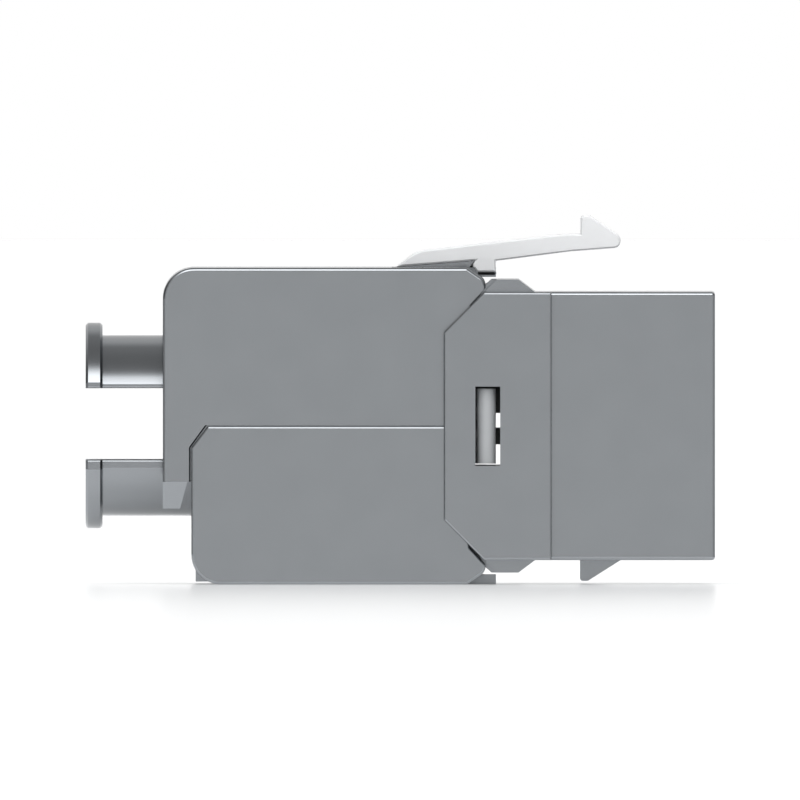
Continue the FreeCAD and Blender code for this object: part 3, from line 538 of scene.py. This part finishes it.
@dataclass
class SolderJoints:
    """Solder cones where the terminals' pins come through the board.

    Attributes:
        count: Number of pins.
        foot: Radius of a joint on the board.
        top: Radius of a joint at its top.
        height: How far a joint stands above the board.
        rim: Radius of the round at its top.
        sides: Number of facets round a joint.
        smooth_below: Angle in degrees under which its facets are shaded as one surface.
    """

    count: int = 8
    foot: float = 0.55 * MM
    top: float = 0.3 * MM
    height: float = 0.22 * MM
    rim: float = 0.099 * MM
    sides: int = 20
    smooth_below: float = 50.0

    def build(self) -> bpy.types.Object:
        """Model one joint, copy it to every pin and join the copies.

        Returns:
            The joined piece.
        """
        first = self.one()
        joints = [first] + [copy_piece(first) for _ in range(1, self.count)]
        _, board_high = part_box("circuit_board")
        deselect()
        for number, joint in enumerate(joints, start=1):
            low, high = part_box("idc_terminal_%d" % number)
            joint.location = (board_high[0], (low[1] + high[1]) / 2, (low[2] + high[2]) / 2)
            joint.select_set(True)
        bpy.context.view_layer.objects.active = first
        bpy.ops.object.join()
        made = settle("solder_joints")
        made.data.materials.append(TIN.material())
        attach(made, Body.HOUSING.value)
        return made

    def one(self) -> bpy.types.Object:
        """Model one joint, which stands on the origin and points along X.

        Returns:
            The joint.
        """
        deselect()
        middle = self.height / 2
        bpy.ops.mesh.primitive_cone_add(
            vertices=self.sides,
            radius1=self.foot,
            radius2=self.top,
            depth=self.height,
            location=(middle, 0, 0),
            rotation=(0, math.pi / 2, 0),
        )
        joint = settle("solder_joint")
        round_edges(
            joint,
            lambda edge: all(v.co.x > middle for v in edge.verts),
            self.rim,
            self.smooth_below,
        )
        return joint


@dataclass
class NoseShadeStrip:
    """A black strip on the rail's nose under the latch's cheeks: painted shade, standing in for the shadow
    there.

    Attributes:
        rear: Rear end of the strip.
        front: Front end of the strip.
        low: Lower face of the strip.
        high: Upper face, hidden behind the cheeks.
        half_width: Half its width, a hair proud of the nose.
        edge_radius: Radius of its edges.
        smooth_below: Angle in degrees under which its faces are shaded as one surface.
    """

    rear: float = -14.45 * MM
    front: float = -13.33 * MM
    low: float = 9.13 * MM
    high: float = 9.45 * MM
    half_width: float = 2.63 * MM
    edge_radius: float = 0.14 * MM
    smooth_below: float = 40.0

    def build(self) -> bpy.types.Object:
        """Model the strip as a bar with its lower and front edges rounded.

        Returns:
            The strip.
        """
        deselect()
        centre = ((self.rear + self.front) / 2, 0.0, (self.low + self.high) / 2)
        bpy.ops.mesh.primitive_cube_add(size=1.0, location=centre)
        size = (self.front - self.rear, 2 * self.half_width, self.high - self.low)
        bpy.context.active_object.scale = size
        strip = settle("nose_painted_shade")
        round_edges(
            strip,
            lambda edge: all(v.co.z < centre[2] or v.co.x > centre[0] for v in edge.verts),
            self.edge_radius,
            self.smooth_below,
        )
        # Painted shade: the strip is black to stand in for the shadow under the latch's cheeks.
        strip.data.materials.append(SHADE_BLACK.material())
        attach(strip, Body.HOUSING.value)
        return strip


@dataclass(frozen=True)
class SoftStep:
    """A soft change of brightness with the direction that the room is seen in.

    Attributes:
        axis: The axis that it runs along, on which a direction goes from minus one to one.
        start: Where it starts.
        end: Where it ends.
        low: Share of the brightness before it.
        high: Share of the brightness after it.
    """

    axis: Axis
    start: float
    end: float
    low: float
    high: float


# The room: dimmer overhead, dark at the collar's end, dim at the port's end, and white behind the jack.
ROOM = (
    SoftStep(Axis.HEIGHT, start=0.7, end=0.88, low=1.0, high=0.47),
    SoftStep(Axis.LENGTH, start=-0.9, end=-0.45, low=0.22, high=1.0),
    SoftStep(Axis.LENGTH, start=0.45, end=0.9, low=1.0, high=0.45),
    SoftStep(Axis.DEPTH, start=0.1, end=0.4, low=1.0, high=1.25),
)
# The window: its foot, its head, its two sides, and the step that keeps it in front of the jack.
WINDOW = (
    SoftStep(Axis.HEIGHT, start=0.3, end=0.42, low=0.0, high=1.0),
    SoftStep(Axis.HEIGHT, start=0.85, end=0.96, low=1.0, high=0.0),
    SoftStep(Axis.LENGTH, start=-0.4, end=-0.25, low=0.0, high=1.0),
    SoftStep(Axis.LENGTH, start=0.25, end=0.4, low=1.0, high=0.0),
    SoftStep(Axis.DEPTH, start=-0.25, end=-0.15, low=1.0, high=0.0),
)


@dataclass
class Studio:
    """The floor, the room, the lamp and the camera.

    Attributes:
        floor_size: Side of the floor.
        floor_cells: Number of faces along each side of the floor.
        floor_colour: Its colour in sRGB hex.
        floor_roughness: Roughness of its faint reflection.
        mirror_start: Where it starts to mirror, from zero seen from straight above to one seen edge on.
        mirror_share: How much it mirrors when seen edge on.
        floor_glow: Light that the floor adds where it is seen, so that it reads as white.
        mirrored_glow: The same where polished metal mirrors the floor.
        room_light: Brightness of the room in front of the jack.
        window_light: How much brighter the window is than the room.
        lamp_height: How high the overhead lamp hangs.
        lamp_width: Diameter of the overhead lamp.
        lamp_power: Its power in watts.
        middle: The point that the camera faces.
        view_size: Width and height of the camera's view.
        view_tilt: How far the camera looks down, in degrees.
        view_distance: The camera's distance from the middle.
        view_reach: How far the camera sees.
    """

    floor_size: float = 8.0
    floor_cells: int = 8
    floor_colour: str = "#EAEBEC"
    floor_roughness: float = 0.18
    mirror_start: float = 0.85
    mirror_share: float = 0.66
    floor_glow: float = 0.28
    mirrored_glow: float = 0.46
    room_light: float = 0.8
    window_light: float = 3.95
    lamp_height: float = 1.2
    lamp_width: float = 0.4
    lamp_power: float = 3.4
    middle: tuple[float, float, float] = (-19.2 * MM, 0.0, 1.555 * MM)
    view_size: float = 48.76 * MM
    view_tilt: float = 0.3
    view_distance: float = 3.0
    view_reach: float = 12.0

    def build(self) -> None:
        """Build the whole studio."""
        self.floor()
        self.world()
        self.lamp()
        self.camera()
        bpy.context.scene.view_settings.view_transform = "Standard"

    def floor(self) -> None:
        """Lay a plain pale floor under the jack, which keeps its shadow and a faint reflection."""
        deselect()
        lowest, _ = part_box("lower_cover")
        bpy.ops.mesh.primitive_grid_add(
            x_subdivisions=self.floor_cells,
            y_subdivisions=self.floor_cells,
            size=self.floor_size,
            location=(0, 0, lowest[2]),
        )
        floor = settle("floor")
        floor.data.materials.append(self.floor_material())

    def floor_material(self) -> bpy.types.Material:
        """Build the floor's finish: matte, mirroring a little at a low angle, and white to the camera.

        Returns:
            The new material.
        """
        made, graph = blank_material("pale_floor")
        ray = graph.node("ShaderNodeLightPath").outputs
        mirrored = graph.node(
            "ShaderNodeMath",
            {"operation": "MAXIMUM"},
            at_0=ray["Is Glossy Ray"],
            at_1=ray["Is Transmission Ray"],
        )
        plain = graph.node(
            "ShaderNodeMath", {"operation": "MULTIPLY"}, at_0=ray["Is Camera Ray"], at_1=self.floor_glow
        )
        level = graph.node(
            "ShaderNodeMath",
            {"operation": "MULTIPLY_ADD"},
            at_0=mirrored.outputs[0],
            at_1=self.mirrored_glow,
            at_2=plain.outputs[0],
        )
        glow = graph.node("ShaderNodeEmission", Color=WHITE_LIGHT, Strength=level.outputs[0])
        diffuse = graph.node("ShaderNodeBsdfDiffuse", Color=linear(self.floor_colour))
        matte = graph.node("ShaderNodeAddShader", at_0=diffuse.outputs[0], at_1=glow.outputs[0])
        gloss = graph.node("ShaderNodeBsdfGlossy", Color=WHITE_LIGHT, Roughness=self.floor_roughness)
        facing = graph.node("ShaderNodeLayerWeight")
        share = graph.node(
            "ShaderNodeMapRange",
            Value=facing.outputs["Facing"],
            From_Min=self.mirror_start,
            From_Max=1.0,
            To_Min=0.0,
            To_Max=self.mirror_share,
        )
        both = graph.node(
            "ShaderNodeMixShader", at_0=share.outputs[0], at_1=matte.outputs[0], at_2=gloss.outputs[0]
        )
        graph.node("ShaderNodeOutputMaterial", Surface=both.outputs[0])
        return made

    def world(self) -> None:
        """Surround the jack with a white room and its window, which the camera sees as plain white."""
        world = bpy.data.worlds.new("studio_room")
        bpy.context.scene.world = world
        world.use_nodes = True
        world.node_tree.nodes.clear()
        graph = Graph(world.node_tree)
        way = graph.node("ShaderNodeTexCoord").outputs["Generated"]
        parts = graph.node("ShaderNodeSeparateXYZ", Vector=way).outputs
        room = self.shaded(graph, parts, self.room_light, ROOM)
        window = self.shaded(graph, parts, self.window_light, WINDOW)
        lit = graph.node("ShaderNodeMath", {"operation": "ADD"}, at_0=room, at_1=window)
        seen = graph.node("ShaderNodeLightPath").outputs["Is Camera Ray"]
        level = graph.node("ShaderNodeMix", {"data_type": "FLOAT"}, Factor=seen, A=lit.outputs[0], B=1.0)
        light = graph.node("ShaderNodeBackground", Color=WHITE_LIGHT, Strength=level.outputs[0])
        graph.node("ShaderNodeOutputWorld", Surface=light.outputs[0])

    def shaded(
        self, graph: Graph, parts: bpy.types.NodeOutputs, brightness: float, steps: tuple[SoftStep, ...]
    ) -> bpy.types.NodeSocket:
        """Take a brightness through its soft steps.

        Args:
            graph: The world's graph.
            parts: The direction's parts along the three axes.
            brightness: The brightness before any step.
            steps: The steps, each of which scales it.

        Returns:
            The brightness in each direction.
        """
        light: Any = brightness
        for step in steps:
            share = graph.node(
                "ShaderNodeMapRange",
                {"interpolation_type": "SMOOTHSTEP"},
                Value=parts[step.axis.value],
                From_Min=step.start,
                From_Max=step.end,
                To_Min=step.low,
                To_Max=step.high,
            )
            scaled = graph.node(
                "ShaderNodeMath", {"operation": "MULTIPLY"}, at_0=light, at_1=share.outputs["Result"]
            )
            light = scaled.outputs[0]
        return light

    def lamp(self) -> None:
        """Hang a soft lamp overhead, which casts the jack's shadow and stays out of its reflections."""
        data = bpy.data.lights.new("overhead", "AREA")
        data.shape = "DISK"
        data.size = self.lamp_width
        data.energy = self.lamp_power
        lamp = bpy.data.objects.new("overhead", data)
        lamp.location = (self.middle[0], 0.0, self.lamp_height)
        lamp.visible_glossy = False
        lamp.visible_camera = False
        bpy.context.scene.collection.objects.link(lamp)

    def camera(self) -> None:
        """Set a camera with parallel rays, which faces the jack's side and looks down on it by a hair."""
        data = bpy.data.cameras.new("camera")
        data.type = "ORTHO"
        data.ortho_scale = self.view_size
        data.clip_end = self.view_reach
        camera = bpy.data.objects.new("camera", data)
        bpy.context.scene.collection.objects.link(camera)
        tilt = math.radians(self.view_tilt)
        away = Vector((0.0, -math.cos(tilt), math.sin(tilt)))
        camera.location = Vector(self.middle) + away * self.view_distance
        camera.rotation_euler = (math.pi / 2 - tilt, 0.0, 0.0)
        bpy.context.scene.camera = camera


def main() -> None:
    """Build the scene in order and report each piece."""
    logging.basicConfig(level=logging.INFO, format="%(name)s: %(message)s")
    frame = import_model()
    Studio().build()
    Carried(frame["nodes"]).dress(frame["record"])
    for assembly in (SolderJoints(), NoseShadeStrip()):
        LOG.info("added %s", assembly.build().name)


if __name__ == "__main__":
    main()
